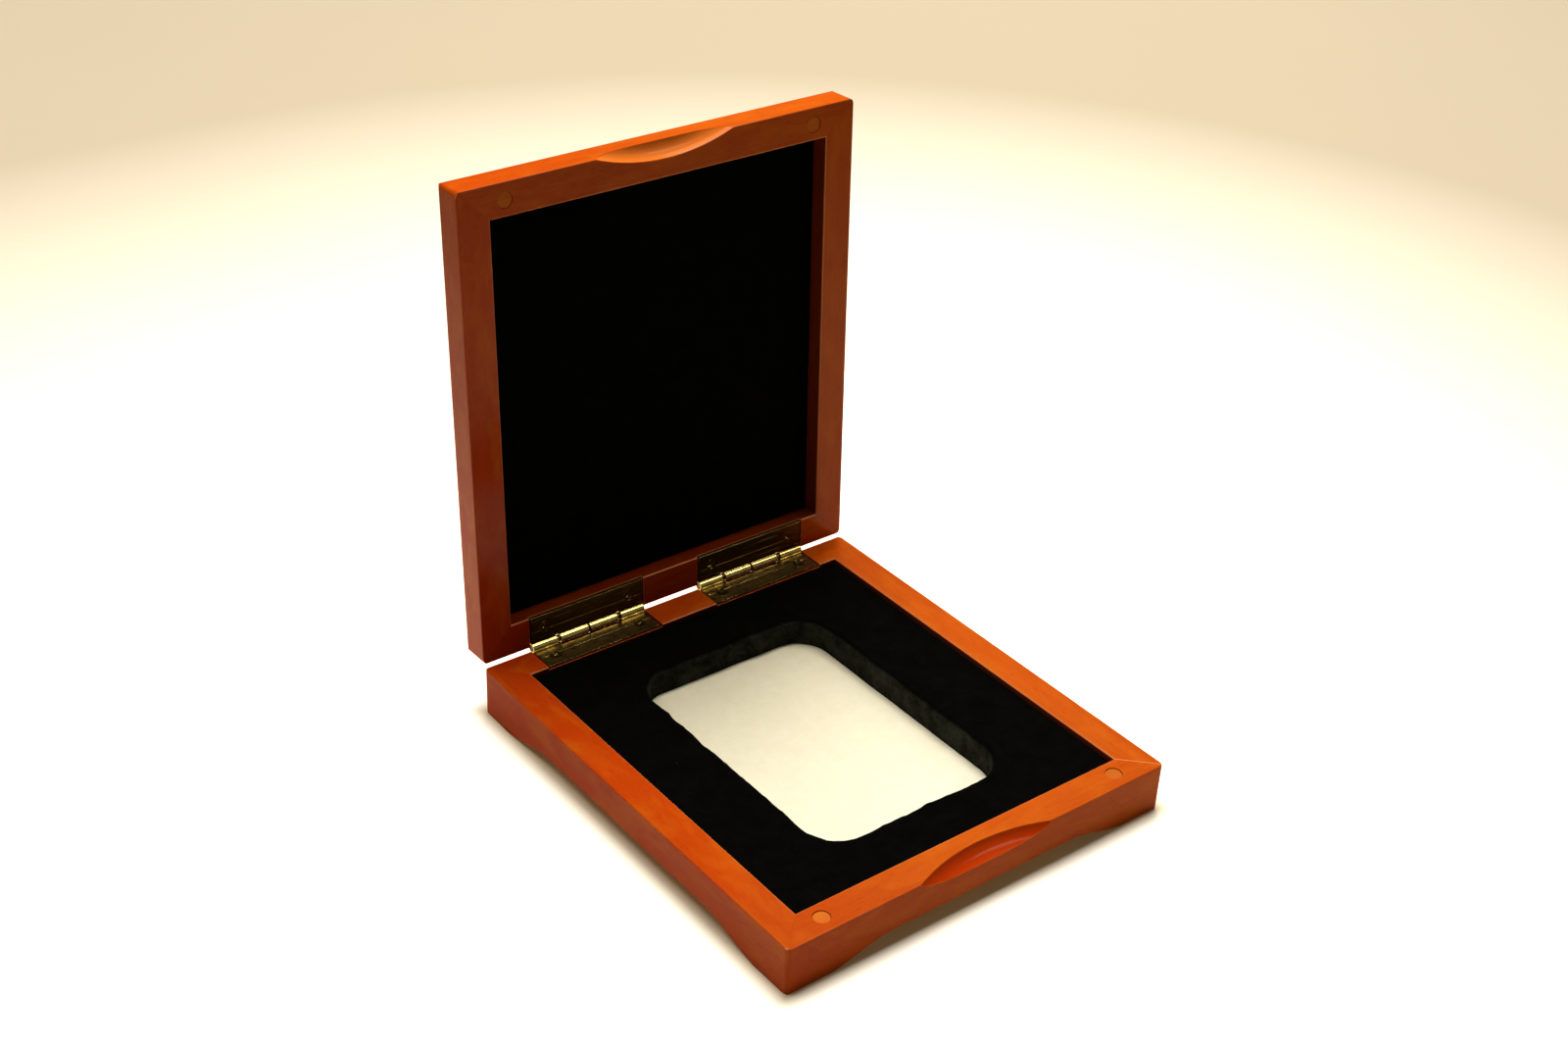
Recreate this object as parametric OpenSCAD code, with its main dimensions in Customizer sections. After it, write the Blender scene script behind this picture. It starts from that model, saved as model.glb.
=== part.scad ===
// Flip-open display case for one coin slab: a mitred wooden base on four corner feet with a
// velvet insert and a pocket, and a mitred wooden lid with a velvet recess on two brass hinges.
// The origin is on the table under the middle of the open case. X runs along the hinges, to the
// right, +Y is the hinge side and Z is up. Pieces are drawn about the middle of the base, the lid
// shut. The lid is then turned open, and placed() moves every piece to the origin.

/* [Case] */
// Width of the case, along the hinges
case_w = 127; // [120:1:160]
// Depth of the case, from the front to the hinge side
case_d = 139; // [130:0.5:180]
// Width of the wooden rims
rim_w = 9.5; // [9.5:0.25:13]
// Radius of the four upright corners
corner_r = 1.5; // [0.75:0.25:3]
// Rounding of the base's outer edges
base_edge_r = 0.3; // [0.2:0.1:1.2]
// Rounding of the rims' edges around the velvet
inner_edge_r = 0.4; // [0.2:0.1:0.8]

/* [Base] */
// Height of the base, feet to rim
base_h = 14.5; // [14:0.5:22]
// Flat length of each foot, from the corner
foot_len = 11; // [8:1:18]
// Length of the curve from a foot up to the arch
arch_run = 23; // [12:1:28]
// Height of the arches under the rails
arch_h = 4.2; // [4.1:0.1:6]
// Drop from the rim down to the base's velvet
velvet_drop = 2; // [1:0.25:4]
// Thickness of the base's velvet
velvet_t = 0.8; // [0.5:0.1:1.2]
// Thickness of the board under the insert
bottom_t = 1.3; // [1:0.1:3]
// Gap between the insert and the rails around it
insert_fit = 0.25; // [0.1:0.05:0.4]

/* [Slab pocket] */
// Width of the pocket, between its velvet walls
pocket_w = 61.4; // [50:0.2:90]
// Length of the pocket, front to back
pocket_l = 87.4; // [70:0.2:105]
// Radius of the pocket's corners
pocket_r = 10; // [5:0.5:15]
// Depth of the pocket, from the velvet's top to the lining
pocket_depth = 8.2; // [6:0.1:10]
// Rounding of the velvet over the pocket's edge
pocket_lip_r = 1.6; // [1.2:0.1:2.4]
// Thickness of the lining on the pocket's floor
lining_t = 0.5; // [0.3:0.1:1]
// Gap between the lining and the velvet walls
lining_fit = 0.1; // [0.05:0.05:0.3]

/* [Lid] */
// Thickness of the lid
lid_t = 9.5; // [8.5:0.25:14]
// Rounding of the lid's outer face along its edge
lid_edge_r = 1.5; // [0.6:0.1:2]
// Thickness of the panel in the lid's outer face
panel_t = 3.2; // [2:0.1:4]
// Width of the rebate that carries the panel
rebate_w = 4; // [2:0.25:5]
// Gap between the panel and its rebate
panel_fit = 0.1; // [0.05:0.05:0.3]
// Thickness of the card behind the lid's velvet
pad_t = 0.6; // [0.3:0.1:1]
// Thickness of the lid's velvet
lid_velvet_t = 0.7; // [0.4:0.1:1]
// Gap between the lid's card and velvet and the rails
pad_fit = 0.15; // [0.05:0.05:0.3]
// Gap between the two rims when the case is shut
closed_gap = 0.2; // [0.1:0.05:0.5]
// Opening angle of the lid at its stop
open_angle = 92.5; // [90:0.5:100]

/* [Finger scoops] */
// Width of the base's scoop along the front edge
base_scoop_w = 45; // [30:1:60]
// Reach of the base's scoop into the rim
base_scoop_in = 4.65; // [3:0.05:5.5]
// Drop of the base's scoop down the front
base_scoop_drop = 3; // [2:0.1:3.5]
// Width of the lid's scoop along the front edge
lid_scoop_w = 44.5; // [30:0.5:60]
// Reach of the lid's scoop into the rim
lid_scoop_in = 4.2; // [3:0.05:5.5]
// Rise of the lid's scoop up the front
lid_scoop_rise = 3.2; // [2:0.1:3.5]

/* [Magnets] */
// Diameter of the disc magnets
magnet_d = 4.5; // [3:0.1:6]
// Thickness of the disc magnets
magnet_t = 2.8; // [1.5:0.1:3]
// Centre of each magnet, from the case's side
magnet_side = 14; // [8:0.5:20]
// Centre of each magnet, from the case's front
magnet_front = 5; // [4.5:0.1:5.5]
// Depth of each magnet's face below the rim
magnet_sink = 0.2; // [0.1:0.05:0.4]
// Gap around each magnet in its bore
magnet_fit = 0.1; // [0.05:0.05:0.2]

/* [Hinges] */
// Length of each hinge
hinge_len = 37.6; // [32:0.2:44]
// Edge of each hinge, from the case's side
hinge_side = 15.75; // [8:0.25:18]
// Thickness of the leaves
leaf_t = 0.9; // [0.7:0.1:1.2]
// Reach of the leaves into the rim, from the back edge
leaf_in = 9.05; // [8:0.05:9.2]
// Reach of the leaves' raised band, from the back edge
band_in = 4.4; // [3:0.1:5]
// Drop from the raised band to the rest of the leaf
band_step = 0.2; // [0.1:0.05:0.3]
// Diameter of the knuckles
knuckle_d = 3; // [2.8:0.1:3.6]
// Diameter of the pins
pin_d = 1.9; // [1.5:0.1:2]
// Gap around a pin in its knuckles
pin_fit = 0.05; // [0.03:0.01:0.08]
// Length of each of the two outer knuckles
outer_knuckle = 7.9; // [6:0.1:10]
// Gap between an outer knuckle and the middle ones
knuckle_gap = 1.3; // [0.9:0.1:2]
// Width of the groove between the two middle knuckles
knuckle_seam = 0.4; // [0.2:0.1:1]
// Distance of the pin behind the back edge
pin_out = 0.5; // [0.4:0.1:1.2]
// Edge of the leaves' cut-outs, from the back edge
cutout_in = 1.95; // [1.9:0.05:2.8]
// Gap around a leaf's ends in its mortise
mortise_fit = 0.5; // [0.1:0.05:0.8]
// Gap around the barrel in the lid
relief_gap = 0.2; // [0.15:0.05:0.4]
// Length of the stop lips under the open lid
stop_len = 2; // [1:0.1:3]
// Thickness of the stop lips
stop_t = 0.9; // [0.6:0.1:1.1]
// Gap between the stop lips and the open lid
stop_fit = 0.02; // [0.01:0.01:0.05]

/* [Screws] */
// Diameter of the screw heads
head_d = 3.4; // [2.8:0.1:4]
// Diameter of the screw shanks
shank_d = 1.7; // [1.2:0.1:2]
// Length of the screws
screw_len = 5; // [4:0.5:6]
// Centre of the screws, from the back edge
screw_in = 5.3; // [5:0.1:6]
// Centre of the screws, from the hinge's end
screw_end = 4.55; // [3.5:0.05:8]
// Gap around the screws in the leaves and the wood
screw_fit = 0.05; // [0.03:0.01:0.1]
// Width of the slots in the cross recess
cross_w = 0.5; // [0.3:0.05:0.7]
// Depth of the cross recess
cross_deep = 0.45; // [0.2:0.05:0.6]
// Length of the slots in the cross recess
cross_len = 2; // [1.2:0.1:2.6]
// Turn of the cross recess
cross_angle = 20; // [0:5:85]

/* [Hidden] */
$fn = 64;
cut = 1; // how far a cutter runs past the face it cuts
half_w = case_w / 2;
half_d = case_d / 2;
well_w = case_w - 2 * rim_w;
well_d = case_d - 2 * rim_w;
arch_steps = 14;

// Levels in the base
velvet_z = base_h - velvet_drop;
core_top = velvet_z - velvet_t;
floor_z = velvet_z - pocket_depth;
core_bottom = floor_z - lining_t;
board_bottom = core_bottom - bottom_t;

// Levels in the lid when it is shut
lid_rim_z = base_h + closed_gap;
lid_top_z = lid_rim_z + lid_t;
panel_z = lid_top_z - panel_t;
pad_z = panel_z - pad_t;
lid_velvet_z = pad_z - lid_velvet_t;

// Pin axis: the barrel rises from the bottom of the base's leaf
knuckle_r = knuckle_d / 2;
pin_y = half_d + pin_out;
pin_z = base_h - leaf_t + knuckle_r;
relief_r = knuckle_r + relief_gap;
pin_relief_r = pin_d / 2 + relief_gap;
knuckle_clear = 0.3; // free length at each end of a knuckle
hinge_x = half_w - hinge_side - hinge_len / 2;
middle_knuckle = (hinge_len - 2 * outer_knuckle - 2 * knuckle_gap - knuckle_seam) / 2;
outer_from = hinge_len / 2 - outer_knuckle;
middle_from = knuckle_seam / 2;
middle_to = middle_from + middle_knuckle;
pin_inset = 0.2;
seam_r = (knuckle_r + pin_d / 2 + pin_fit) / 2; // floor of the groove between the middle knuckles
seam_lap = 0.5; // how far that floor runs on into the knuckles
leaf_root = 0.4; // where a leaf ends inside its barrel, from the pin's axis
lip_inset = 0.3; // how much shorter a stop lip is than its knuckle, at each end
lip_to = sqrt(relief_r * relief_r - pin_out * pin_out) + stop_len;

// The open lid's furthest point back, and the way from the middle of the base to the origin
open_back = pin_y - (case_d + pin_out - lid_edge_r) * cos(open_angle)
    + (lid_top_z - lid_edge_r - pin_z) * sin(open_angle) + lid_edge_r;
origin_y = (open_back - half_d) / 2;

// Screws
screw_x = hinge_len / 2 - screw_end;
head_h = leaf_t - band_step;

// Colours
wood_front = [0.62, 0.22, 0.07];
wood_side = [0.66, 0.24, 0.07];
fibreboard = [0.55, 0.40, 0.26];
off_white = [0.93, 0.91, 0.84];
black_velvet = [0.05, 0.05, 0.06];
magnet_metal = [0.70, 0.55, 0.32];
old_brass = [0.50, 0.38, 0.20];

// Plane shapes

// What a rounding takes off a corner at the origin of a shape that fills the +x +y quarter
module corner_nib(r) {
    difference() {
        translate([-cut, -cut]) square(r + cut);
        translate([r, r]) circle(r);
    }
}

// Rectangle from the origin with its own radius at each corner, from the origin's, anticlockwise
module soft_square(w, h, r00, r10, r11, r01) {
    difference() {
        square([w, h]);
        if (r00 > 0) corner_nib(r00);
        if (r10 > 0) translate([w, 0]) rotate(90) corner_nib(r10);
        if (r11 > 0) translate([w, h]) rotate(180) corner_nib(r11);
        if (r01 > 0) translate([0, h]) rotate(270) corner_nib(r01);
    }
}

// Rectangle about the origin with round corners
module round_rect(w, l, r) {
    translate([-w / 2, -l / 2]) soft_square(w, l, r, r, r, r);
}

// Arch under a rail of a given length: a flat foot at each end and a curve up to the arch
function arch_curve(i) = arch_h * (1 - cos(180 * i / arch_steps)) / 2;
function arch_outline(length) = concat(
    [[-length / 2 + foot_len, -cut]],
    [for (i = [0 : arch_steps]) [-length / 2 + foot_len + arch_run * i / arch_steps, arch_curve(i)]],
    [for (i = [arch_steps : -1 : 0]) [length / 2 - foot_len - arch_run * i / arch_steps, arch_curve(i)]],
    [[length / 2 - foot_len, -cut]]
);

// Rails: each is drawn along X with its outer face at y = -depth / 2, and then turned to its side

// Plan of a rail: between its two mitres, inside the case's round corners
module rail_plan(length, depth) {
    intersection() {
        round_rect(length, depth, corner_r);
        polygon([
            [-length / 2, -depth / 2],
            [length / 2, -depth / 2],
            [length / 2 - rim_w, -depth / 2 + rim_w],
            [-length / 2 + rim_w, -depth / 2 + rim_w]
        ]);
    }
}

// A rail with rounded long edges: out_low and out_high are the outer edges, in_low and in_high the inner
module rail(length, depth, z0, height, out_low, in_low, in_high, out_high) {
    intersection() {
        translate([0, 0, z0 - cut]) linear_extrude(height + 2 * cut) rail_plan(length, depth);
        translate([-length / 2 - cut, -depth / 2, z0])
            rotate([90, 0, 90])
                linear_extrude(length + 2 * cut)
                    soft_square(rim_w, height, out_low, in_low, in_high, out_high);
    }
}

module base_rail(length, depth) {
    difference() {
        rail(length, depth, 0, base_h, base_edge_r, 0, inner_edge_r, base_edge_r);
        translate([0, -depth / 2 + rim_w + cut, 0])
            rotate([90, 0, 0]) linear_extrude(rim_w + 2 * cut) polygon(arch_outline(length));
    }
}

module lid_rail(length, depth) {
    difference() {
        rail(length, depth, lid_rim_z, lid_t, base_edge_r, inner_edge_r, 0, lid_edge_r);
        translate([-length / 2, -depth / 2 + rim_w - rebate_w, panel_z])
            cube([length, rebate_w + cut, panel_t + cut]);
    }
}

// Cove of a finger scoop: a ring about an upright axis in front of the case. It cuts a bow of the
// given width and reach into the rim's face at z, and its steep end is on that face.
module scoop_cutter(width, reach, drop, z, side) {
    axis_out = (width * width / 4 - reach * reach) / (2 * reach);
    cove_r = (reach * reach / drop + drop) / 2;
    translate([0, -half_d - axis_out, z + side * (cove_r - drop)])
        rotate_extrude($fn = 256) translate([axis_out, 0]) circle(cove_r);
}

// Positions of the magnets and the hinges: -1 is the left one
function magnet_x(side) = side * (half_w - magnet_side);
magnet_y = -half_d + magnet_front;

module magnet_bores(face_z, side) {
    depth = magnet_sink + magnet_t;
    for (x = [magnet_x(-1), magnet_x(1)])
        translate([x, magnet_y, face_z + (side > 0 ? -cut : -depth)])
            cylinder(h = depth + cut, d = magnet_d + 2 * magnet_fit);
}

module magnet(x, face_z, side) {
    translate([x, magnet_y, face_z + (side > 0 ? magnet_sink : -magnet_sink - magnet_t)])
        cylinder(h = magnet_t, d = magnet_d);
}

// Mortise for a leaf: through the rim's inner edge and out at the back
module leaf_mortises(z0) {
    for (side = [-1, 1])
        translate([side * hinge_x - hinge_len / 2 - mortise_fit, half_d - rim_w - cut, z0])
            cube([hinge_len + 2 * mortise_fit, rim_w + 2 * cut, leaf_t + cut]);
}

// Pilot holes of the screws that go down (side -1) or up (side 1) from a rim's face
module pilot_holes(face_z, side) {
    bore_len = screw_len - head_h + screw_fit;
    for (x = [-1, 1], s = [-1, 1])
        translate([x * hinge_x + s * screw_x, half_d - screw_in, face_z])
            rotate([side > 0 ? 0 : 180, 0, 0])
                translate([0, 0, leaf_t - cut / 2])
                    cylinder(h = bore_len + cut / 2, d = shank_d + 2 * screw_fit);
}

// Turns a piece of the shut lid up to where it stands open
module opened() {
    translate([0, pin_y, pin_z]) rotate([-open_angle, 0, 0]) translate([0, -pin_y, -pin_z]) children();
}

// Moves a piece from its place about the middle of the base to its place about the origin
module placed() {
    translate([0, -origin_y, 0]) children();
}

// The hollow of a pocket from z0 up past z1, with its top edge rounded over by lip
module pocket_hollow(w, l, r, z0, z1, lip) {
    translate([0, 0, z0]) linear_extrude(z1 - z0 + cut) round_rect(w, l, r);
    for (x = [-1, 1], y = [-1, 1])
        translate([x * (w / 2 - r), y * (l / 2 - r), z1])
            rotate_extrude() translate([r, 0]) lip_profile(lip);
    for (x = [0, 180])
        rotate(x) translate([w / 2, l / 2 - r, z1])
            rotate([90, 0, 0]) linear_extrude(l - 2 * r) lip_profile(lip);
    for (y = [90, 270])
        rotate(y) translate([l / 2, w / 2 - r, z1])
            rotate([90, 0, 0]) linear_extrude(w - 2 * r) lip_profile(lip);
}

// Section of what the rounding takes away: x is the way out from the pocket's wall, y is up from its edge
module lip_profile(lip) {
    difference() {
        translate([-cut / 2, -lip]) square([lip + cut / 2, lip + cut / 2]);
        translate([lip, -lip]) circle(lip);
    }
}

// Base

module base_rail_front() {
    color(wood_front) difference() {
        base_rail(case_w, case_d);
        scoop_cutter(base_scoop_w, base_scoop_in, base_scoop_drop, base_h, 1);
        magnet_bores(base_h, -1);
    }
}

module base_rail_back() {
    color(wood_front) difference() {
        rotate(180) base_rail(case_w, case_d);
        leaf_mortises(base_h - leaf_t);
        pilot_holes(base_h, -1);
    }
}

module base_rail_left() {
    color(wood_side) rotate(270) base_rail(case_d, case_w);
}

module base_rail_right() {
    color(wood_side) rotate(90) base_rail(case_d, case_w);
}

module insert_plan(z0, height) {
    translate([-well_w / 2 + insert_fit, -well_d / 2 + insert_fit, z0])
        cube([well_w - 2 * insert_fit, well_d - 2 * insert_fit, height]);
}

module bottom_board() {
    color(fibreboard) insert_plan(board_bottom, bottom_t);
}

module insert_core() {
    color(fibreboard) difference() {
        insert_plan(core_bottom, core_top - core_bottom);
        pocket_hollow(pocket_w + 2 * velvet_t, pocket_l + 2 * velvet_t, pocket_r + velvet_t,
            core_bottom - cut, core_top, pocket_lip_r - velvet_t);
    }
}

module pocket_lining() {
    color(off_white) translate([0, 0, core_bottom])
        linear_extrude(lining_t)
            round_rect(pocket_w - 2 * lining_fit, pocket_l - 2 * lining_fit, pocket_r - lining_fit);
}

// Velvet over the insert, turned down along the pocket's walls to the bottom board
module base_velvet() {
    color(black_velvet) difference() {
        insert_plan(core_bottom, velvet_z - core_bottom);
        insert_core_shape();
        pocket_hollow(pocket_w, pocket_l, pocket_r, core_bottom - cut, velvet_z, pocket_lip_r);
    }
}

module insert_core_shape() {
    difference() {
        translate([-case_w / 2, -case_d / 2, core_bottom - cut]) cube([case_w, case_d, core_top - core_bottom + cut]);
        pocket_hollow(pocket_w + 2 * velvet_t, pocket_l + 2 * velvet_t, pocket_r + velvet_t,
            core_bottom - 2 * cut, core_top, pocket_lip_r - velvet_t);
    }
}

module base_magnet_left() {
    color(magnet_metal) magnet(magnet_x(-1), base_h, -1);
}

module base_magnet_right() {
    color(magnet_metal) magnet(magnet_x(1), base_h, -1);
}

// Lid

module lid_rail_front() {
    color(wood_front) opened() difference() {
        lid_rail(case_w, case_d);
        scoop_cutter(lid_scoop_w, lid_scoop_in, lid_scoop_rise, lid_rim_z, -1);
        magnet_bores(lid_rim_z, 1);
    }
}

module lid_rail_back() {
    color(wood_front) opened() difference() {
        rotate(180) lid_rail(case_w, case_d);
        leaf_mortises(lid_rim_z - cut);
        pilot_holes(lid_rim_z, 1);
        for (side = [-1, 1]) translate([side * hinge_x, pin_y, pin_z]) barrel_relief();
    }
}

module lid_rail_left() {
    color(wood_side) opened() rotate(270) lid_rail(case_d, case_w);
}

module lid_rail_right() {
    color(wood_side) opened() rotate(90) lid_rail(case_d, case_w);
}

module lid_panel() {
    panel_w = well_w + 2 * (rebate_w - panel_fit);
    panel_d = well_d + 2 * (rebate_w - panel_fit);
    color(wood_side) opened()
        translate([-panel_w / 2, -panel_d / 2, panel_z]) cube([panel_w, panel_d, panel_t]);
}

module lid_sheet(z0, height) {
    translate([-well_w / 2 + pad_fit, -well_d / 2 + pad_fit, z0])
        cube([well_w - 2 * pad_fit, well_d - 2 * pad_fit, height]);
}

module lid_pad_board() {
    color(off_white) opened() lid_sheet(pad_z, pad_t);
}

module lid_velvet() {
    color(black_velvet) opened() lid_sheet(lid_velvet_z, lid_velvet_t);
}

module lid_magnet_left() {
    color(magnet_metal) opened() magnet(magnet_x(-1), lid_rim_z, 1);
}

module lid_magnet_right() {
    color(magnet_metal) opened() magnet(magnet_x(1), lid_rim_z, 1);
}

// Hinges: a hinge is drawn along X about its middle, with the pin's axis as its origin

module barrel(x0, length, r) {
    translate([x0, 0, 0]) rotate([0, 90, 0]) cylinder(h = length, r = r);
}

// Room for the barrel in the lid's rail: wide at the knuckles, narrow at the bare pin between them
module barrel_relief() {
    outer_room = outer_knuckle + knuckle_clear + mortise_fit;
    barrel(-hinge_len / 2 - mortise_fit, hinge_len + 2 * mortise_fit, pin_relief_r);
    barrel(-hinge_len / 2 - mortise_fit, outer_room, relief_r);
    barrel(-middle_to - knuckle_clear, 2 * (middle_to + knuckle_clear), relief_r);
    barrel(outer_from - knuckle_clear, outer_room, relief_r);
}

module pin_bore() {
    translate([-hinge_len / 2 - cut, 0, 0])
        rotate([0, 90, 0]) cylinder(h = hinge_len + 2 * cut, d = pin_d + 2 * pin_fit);
}

// Plate of a leaf lying on z0, from the leaf's front edge back to its cut-outs' edge
module leaf_plate(z0) {
    translate([-hinge_len / 2, -pin_out - leaf_in, z0]) cube([hinge_len, leaf_in - cutout_in, leaf_t]);
}

// Finger of a leaf from the cut-outs' edge into the barrel
module leaf_finger(x0, length, z0) {
    translate([x0, -pin_out - cutout_in, z0]) cube([length, pin_out + cutout_in - leaf_root, leaf_t]);
}

// Countersunk holes of a leaf whose lower band's face is at face_z; side 1 goes down from it
module leaf_holes(face_z, side) {
    for (x = [-screw_x, screw_x])
        translate([x, -pin_out - screw_in, face_z])
            rotate([side > 0 ? 180 : 0, 0, 0]) {
                translate([0, 0, -cut]) cylinder(h = cut, d = head_d + 2 * screw_fit);
                cylinder(h = head_h, d1 = head_d + 2 * screw_fit, d2 = shank_d + 2 * screw_fit);
                cylinder(h = head_h + cut, d = shank_d + 2 * screw_fit);
            }
}

module base_leaf(side) {
    plate_z = -knuckle_r;
    color(old_brass) translate([side * hinge_x, pin_y, pin_z]) difference() {
        union() {
            leaf_plate(plate_z);
            for (x = [-hinge_len / 2, middle_to + knuckle_clear])
                leaf_finger(x, hinge_len / 2 - middle_to - knuckle_clear, plate_z);
            for (x = [-hinge_len / 2, outer_from]) {
                barrel(x, outer_knuckle, knuckle_r);
                stop_lip(x, outer_knuckle);
            }
        }
        translate([-hinge_len / 2 - cut, -pin_out - leaf_in - cut, plate_z + leaf_t - band_step])
            cube([hinge_len + 2 * cut, leaf_in - band_in + cut, band_step + cut]);
        leaf_holes(plate_z + leaf_t - band_step, 1);
        pin_bore();
    }
}

// Lip that the open lid's edge stands on, turned with the lid's opening
module stop_lip(x0, length) {
    rotate([-open_angle, 0, 0])
        translate([x0 + lip_inset, -pin_out + stop_fit, 0]) cube([length - 2 * lip_inset, stop_t, lip_to]);
}

module lid_leaf(side) {
    plate_z = lid_rim_z - pin_z;
    color(old_brass) opened() translate([side * hinge_x, pin_y, pin_z]) difference() {
        union() {
            leaf_plate(plate_z);
            leaf_finger(-middle_to, 2 * middle_to, plate_z);
            for (x = [middle_from, -middle_to]) barrel(x, middle_knuckle, knuckle_r);
            barrel(-middle_from - seam_lap, 2 * (middle_from + seam_lap), seam_r);
        }
        translate([-hinge_len / 2 - cut, -pin_out - leaf_in - cut, plate_z - cut])
            cube([hinge_len + 2 * cut, leaf_in - band_in + cut, band_step + cut]);
        leaf_holes(plate_z + band_step, -1);
        pin_bore();
    }
}

module hinge_pin(side) {
    color(old_brass) translate([side * hinge_x - hinge_len / 2 + pin_inset, pin_y, pin_z])
        rotate([0, 90, 0]) cylinder(h = hinge_len - 2 * pin_inset, d = pin_d);
}

module hinge_left_base_leaf() {
    base_leaf(-1);
}

module hinge_left_lid_leaf() {
    lid_leaf(-1);
}

module hinge_left_pin() {
    hinge_pin(-1);
}

module hinge_right_base_leaf() {
    base_leaf(1);
}

module hinge_right_lid_leaf() {
    lid_leaf(1);
}

module hinge_right_pin() {
    hinge_pin(1);
}

// Screw that goes down from its head's face at z = 0, with a cross recess
module screw() {
    difference() {
        union() {
            translate([0, 0, -head_h]) cylinder(h = head_h, d1 = shank_d, d2 = head_d);
            translate([0, 0, -screw_len]) cylinder(h = screw_len - head_h, d = shank_d);
        }
        for (turn = [cross_angle, cross_angle + 90])
            rotate(turn) translate([-cross_len / 2, -cross_w / 2, -cross_deep])
                cube([cross_len, cross_w, cross_deep + cut]);
    }
}

module screw_row(face_z, flip) {
    for (x = [-1, 1], s = [-1, 1])
        translate([x * hinge_x + s * screw_x, half_d - screw_in, face_z])
            rotate([flip, 0, 0]) screw();
}

module base_leaf_screws() {
    color(old_brass) screw_row(base_h - band_step, 0);
}

module lid_leaf_screws() {
    color(old_brass) opened() screw_row(lid_rim_z + band_step, 180);
}

placed() base_rail_front();
placed() base_rail_back();
placed() base_rail_left();
placed() base_rail_right();
placed() bottom_board();
placed() insert_core();
placed() pocket_lining();
placed() base_velvet();
placed() base_magnet_left();
placed() base_magnet_right();
placed() lid_rail_front();
placed() lid_rail_back();
placed() lid_rail_left();
placed() lid_rail_right();
placed() lid_panel();
placed() lid_pad_board();
placed() lid_velvet();
placed() lid_magnet_left();
placed() lid_magnet_right();
placed() hinge_left_base_leaf();
placed() hinge_left_lid_leaf();
placed() hinge_left_pin();
placed() hinge_right_base_leaf();
placed() hinge_right_lid_leaf();
placed() hinge_right_pin();
placed() base_leaf_screws();
placed() lid_leaf_screws();
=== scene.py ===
# Looks for the coin display case: stained wood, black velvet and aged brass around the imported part.
import bpy
import bmesh
import math
from mathutils import Matrix, Vector, noise


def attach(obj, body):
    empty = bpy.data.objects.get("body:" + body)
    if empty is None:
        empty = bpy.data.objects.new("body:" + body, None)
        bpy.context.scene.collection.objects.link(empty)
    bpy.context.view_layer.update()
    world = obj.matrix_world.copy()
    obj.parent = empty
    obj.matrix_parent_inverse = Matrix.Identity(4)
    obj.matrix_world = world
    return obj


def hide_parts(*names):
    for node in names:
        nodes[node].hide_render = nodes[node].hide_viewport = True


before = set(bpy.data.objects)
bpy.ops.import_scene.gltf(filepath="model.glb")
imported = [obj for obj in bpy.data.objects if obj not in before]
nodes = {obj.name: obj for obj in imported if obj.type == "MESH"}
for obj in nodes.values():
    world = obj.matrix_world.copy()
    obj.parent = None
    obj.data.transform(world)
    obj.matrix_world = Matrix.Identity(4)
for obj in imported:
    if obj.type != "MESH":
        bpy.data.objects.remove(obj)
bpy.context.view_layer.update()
scene = bpy.context.scene
mm = 0.001
print("frame loaded:", len(nodes), "nodes")

# Places that the pieces share, in millimetres about the middle of the base, with the lid shut
case = {
    "middleY": -7.8061,     # the middle of the base, from the frame's origin
    "halfX": 63.5, "halfY": 69.5,
    "rimWidth": 9.5,
    "rim": {"base": 14.5, "lid": 14.7},     # height of each rim
    "pinOut": 0.5,          # hinge pin behind the back edge
    "pinZ": 15.1,
    "openAngle": 92.5,
}
pivot = Vector((0, (case["middleY"] + case["halfY"] + case["pinOut"]) * mm, case["pinZ"] * mm))
openTurn = Matrix.Rotation(math.radians(-case["openAngle"]), 4, "X")
openLid = Matrix.Translation(pivot) @ openTurn @ Matrix.Translation(-pivot)
toBase = Matrix.Translation((0, case["middleY"] * mm, 0))
toLid = openLid @ toBase
places = {"base": toBase, "lid": toLid}


# Node helpers

# Links a socket to another one, or sets it when the value is a constant
def feed(tree, value, socket):
    if isinstance(value, bpy.types.NodeSocket):
        tree.links.new(value, socket)
    else:
        socket.default_value = value


def newGroup(name, inputs, outputs):
    tree = bpy.data.node_groups.new(name, "ShaderNodeTree")
    for direction, sockets in (("INPUT", inputs), ("OUTPUT", outputs)):
        for label, kind in sockets.items():
            tree.interface.new_socket(name=label, in_out=direction, socket_type="NodeSocket" + kind)
    return tree, tree.nodes.new("NodeGroupInput").outputs, tree.nodes.new("NodeGroupOutput").inputs


def addNode(tree, kind, values):
    node = tree.nodes.new("ShaderNode" + kind)
    for label, value in values.items():
        feed(tree, value, node.inputs[label])
    return node


def addMath(tree, operation, *values, clamp=False):
    node = addNode(tree, "Math", dict(enumerate(values)))
    node.operation = operation
    node.use_clamp = clamp
    return node.outputs[0]


def addProduct(tree, first, *others):
    for other in others:
        first = addMath(tree, "MULTIPLY", first, other)
    return first


# The sum of some values, each times its share
def addShares(tree, *parts):
    first, *others = [addMath(tree, "MULTIPLY", value, share) for value, share in parts]
    for other in others:
        first = addMath(tree, "ADD", first, other)
    return first


def addSplit(tree, vector):
    return addNode(tree, "SeparateXYZ", {"Vector": vector}).outputs


def addMapping(tree, vector, scale=(1, 1, 1), rotation=(0, 0, 0), location=(0, 0, 0)):
    return addNode(tree, "Mapping", {
        "Vector": vector, "Scale": scale, "Rotation": rotation, "Location": location}).outputs[0]


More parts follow.
